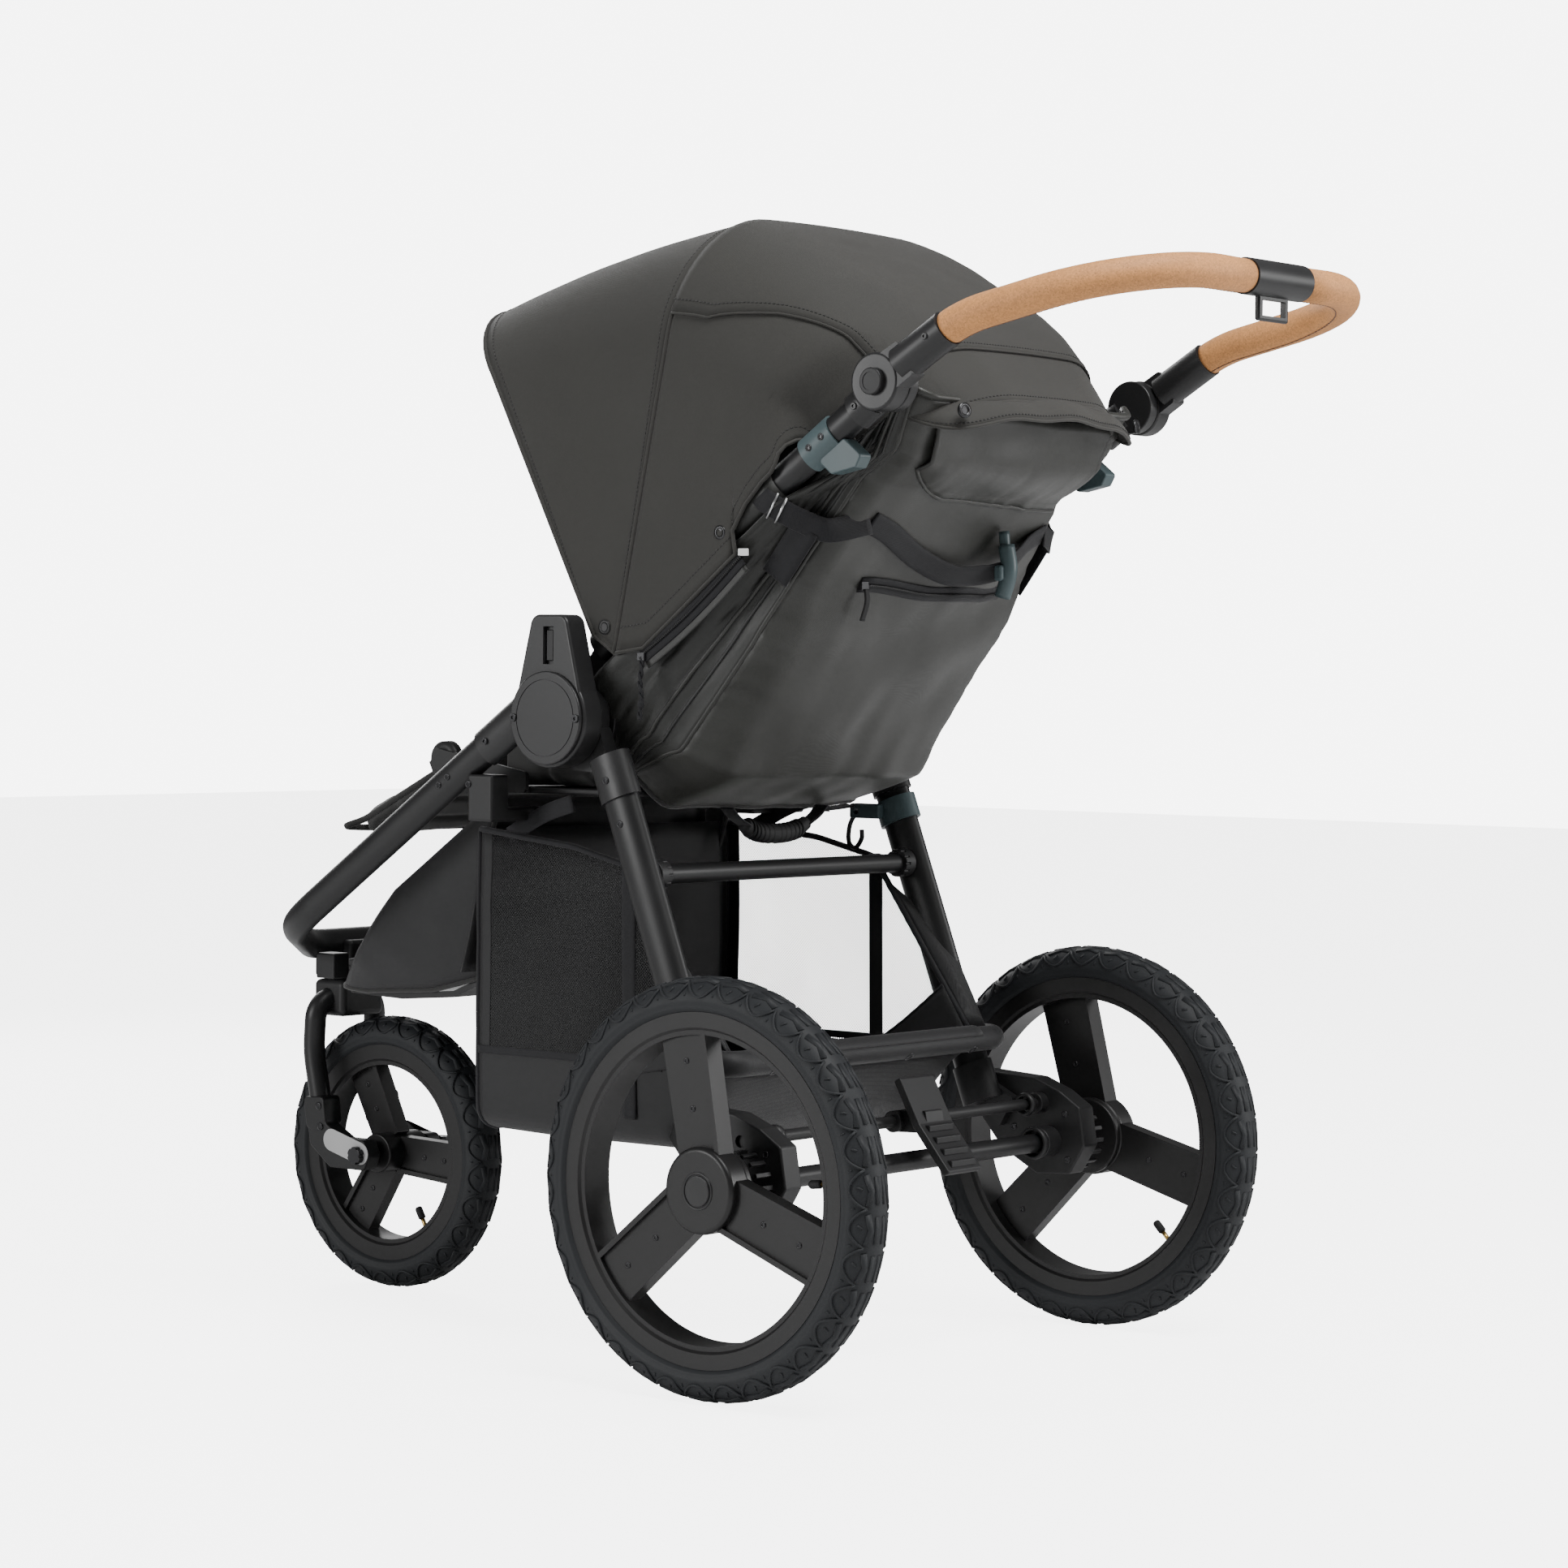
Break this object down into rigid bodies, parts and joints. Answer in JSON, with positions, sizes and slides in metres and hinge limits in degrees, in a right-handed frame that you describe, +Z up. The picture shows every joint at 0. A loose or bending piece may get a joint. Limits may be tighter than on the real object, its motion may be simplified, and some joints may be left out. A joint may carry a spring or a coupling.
{
  "type": "baby stroller",
  "caption": "Three-wheel all-terrain baby stroller with folding tube frame, swivel front wheel, reclining seat, folding canopy, adjustable cork handlebar and under-seat basket.",
  "frame": {"origin": "middle of the footprint, on the ground", "axes": "+Z up, +Y to the rear where the handle is, +X to the seated child's left"},
  "size_m": [0.6822, 1.3119, 1.1438],
  "materials": {
    "tyre": "moulded tread",
    "wheel_black": "fine satin moulding",
    "frame_black": "matte powder coat",
    "plastic_black": "fine grain moulding",
    "plastic_grey": "teal grey moulding",
    "fabric_seat": "woven, slightly glossy",
    "fabric_canopy": "woven canvas",
    "fabric_black": "tight woven and mesh",
    "cork": "stitched cork sleeve",
    "screw": "black oxide",
    "rubber": "ribbed",
    "axle_steel": "turned"
  },
  "bodies": {
    "chassis": {"front_frame_tube": "frame_black", "hub_housing_left": "plastic_black", "hub_housing_right": "plastic_black", "hub_covers": "plastic_black", "hub_screws": "screw", "head_bracket": "plastic_black", "footrest_tray": "plastic_black", "seat_brackets": "plastic_black", "seat_board": "plastic_black", "seat_pad": "fabric_seat", "footwell_skirt": "fabric_black", "carry_handle": "rubber"},
    "rear_frame": {"rear_leg_left": "frame_black", "rear_leg_right": "frame_black", "leg_collars": "plastic_black", "cross_tube": "frame_black", "cross_tube_caps": "plastic_black", "axle_tube": "frame_black", "axle_housing_left": "plastic_black", "axle_housing_right": "plastic_black", "leg_clip": "plastic_grey", "basket_bar": "fabric_black", "basket": "fabric_black"},
    "upper_frame": {"rail_left": "frame_black", "rail_right": "frame_black", "rail_head_left": "plastic_black", "rail_head_right": "plastic_black", "seat_sides": "fabric_black"},
    "backrest": {"seat_shell": "fabric_seat", "back_pad": "fabric_seat"},
    "trigger_left": {"trigger_left": "plastic_grey"},
    "trigger_right": {"trigger_right": "plastic_grey"},
    "handlebar": {"handle_tube": "frame_black", "handle_socket_left": "plastic_black", "handle_socket_right": "plastic_black", "grip_left": "cork", "grip_right": "cork", "handle_clasp": "plastic_black"},
    "handle_button_left": {"handle_button_left": "plastic_black"},
    "handle_button_right": {"handle_button_right": "plastic_black"},
    "canopy_mid": {"canopy_mid_bow": "frame_black", "canopy_rear_panel": "fabric_canopy"},
    "canopy_front": {"canopy_front_bow": "frame_black", "canopy_front_panel": "fabric_canopy"},
    "leg_rest": {"leg_rest": "fabric_seat"},
    "fork": {"fork_crown": "plastic_black", "fork_leg_left": "frame_black", "fork_leg_right": "frame_black", "fork_dropouts": "plastic_black", "front_axle": "axle_steel"},
    "front_wheel": {"front_tyre": "tyre", "front_rim": "wheel_black"},
    "quick_release": {"quick_release": "axle_steel"},
    "rear_wheel_left": {"rear_tyre_left": "tyre", "rear_rim_left": "wheel_black"},
    "rear_wheel_right": {"rear_tyre_right": "tyre", "rear_rim_right": "wheel_black"},
    "wheel_button_left": {"wheel_button_left": "plastic_black"},
    "wheel_button_right": {"wheel_button_right": "plastic_black"},
    "brake": {"brake_pedal": "plastic_black"}
  },
  "joints": [
    {"name": "frame_fold", "type": "hinge", "parent": "chassis", "child": "upper_frame", "pos_m": [0, -0.045, 0.647], "axis": [1, 0, 0], "range_deg": [0, 150], "deforming": ["seat_sides", "seat_shell", "back_pad", "seat_pad", "basket", "footwell_skirt", "carry_handle", "canopy_mid_bow", "canopy_rear_panel", "canopy_front_bow", "canopy_front_panel"]},
    {"name": "rear_fold", "type": "hinge", "parent": "chassis", "child": "rear_frame", "pos_m": [0, -0.045, 0.647], "axis": [1, 0, 0], "range_deg": [-40, 0]},
    {"name": "backrest_recline", "type": "hinge", "parent": "upper_frame", "child": "backrest", "pos_m": [0, 0.109, 0.6], "axis": [-1, 0, 0], "range_deg": [0, 30]},
    {"name": "trigger_left_slide", "type": "slide", "parent": "upper_frame", "child": "trigger_left", "axis": [0, 0.8221, 0.5693], "range_m": [0, 0.012], "stiffness_N_per_m": 300},
    {"name": "trigger_right_slide", "type": "slide", "parent": "upper_frame", "child": "trigger_right", "axis": [0, 0.8221, 0.5693], "range_m": [0, 0.012], "stiffness_N_per_m": 300},
    {"name": "handle_tilt", "type": "hinge", "parent": "upper_frame", "child": "handlebar", "pos_m": [0, 0.34513, 0.97066], "axis": [1, 0, 0], "range_deg": [-35, 35]},
    {"name": "handle_button_left_press", "type": "slide", "parent": "handlebar", "child": "handle_button_left", "axis": [-1, 0, 0], "range_m": [0, 0.0025], "stiffness_N_per_m": 400},
    {"name": "handle_button_right_press", "type": "slide", "parent": "handlebar", "child": "handle_button_right", "axis": [1, 0, 0], "range_m": [0, 0.0025], "stiffness_N_per_m": 400},
    {"name": "canopy_mid_close", "type": "hinge", "parent": "upper_frame", "child": "canopy_mid", "pos_m": [0, 0.01217, 0.7401], "axis": [-1, 0, 0], "range_deg": [0, 38]},
    {"name": "canopy_front_close", "type": "hinge", "parent": "canopy_mid", "child": "canopy_front", "pos_m": [0, 0.01217, 0.7401], "axis": [-1, 0, 0], "range_deg": [0, 36]},
    {"name": "leg_rest_tilt", "type": "hinge", "parent": "chassis", "child": "leg_rest", "pos_m": [0, -0.258, 0.601], "axis": [-1, 0, 0], "range_deg": [0, 30]},
    {"name": "fork_swivel", "type": "hinge", "parent": "chassis", "child": "fork", "pos_m": [0, -0.58, 0.345], "axis": [0, 0, 1], "continuous": true},
    {"name": "front_wheel_roll", "type": "hinge", "parent": "fork", "child": "front_wheel", "pos_m": [0, -0.503, 0.1525], "axis": [1, 0, 0], "continuous": true},
    {"name": "quick_release_open", "type": "hinge", "parent": "fork", "child": "quick_release", "pos_m": [-0.072, -0.503, 0.1525], "axis": [0, 0, 1], "range_deg": [0, 80]},
    {"name": "rear_wheel_left_roll", "type": "hinge", "parent": "rear_frame", "child": "rear_wheel_left", "pos_m": [0.316, 0.228, 0.203], "axis": [1, 0, 0], "continuous": true},
    {"name": "rear_wheel_right_roll", "type": "hinge", "parent": "rear_frame", "child": "rear_wheel_right", "pos_m": [-0.316, 0.228, 0.203], "axis": [1, 0, 0], "continuous": true},
    {"name": "wheel_button_left_press", "type": "slide", "parent": "rear_wheel_left", "child": "wheel_button_left", "axis": [-1, 0, 0], "range_m": [0, 0.003], "stiffness_N_per_m": 400},
    {"name": "wheel_button_right_press", "type": "slide", "parent": "rear_wheel_right", "child": "wheel_button_right", "axis": [1, 0, 0], "range_m": [0, 0.003], "stiffness_N_per_m": 400},
    {"name": "brake_press", "type": "hinge", "parent": "rear_frame", "child": "brake", "pos_m": [0, 0.216, 0.243], "axis": [-1, 0, 0], "range_deg": [0, 22]}
  ],
  "couplings": [
    {"joint": "rear_fold", "follows": "frame_fold", "ratio": -0.266},
    {"joint": "canopy_front_close", "follows": "canopy_mid_close", "ratio": 0.9}
  ]
}
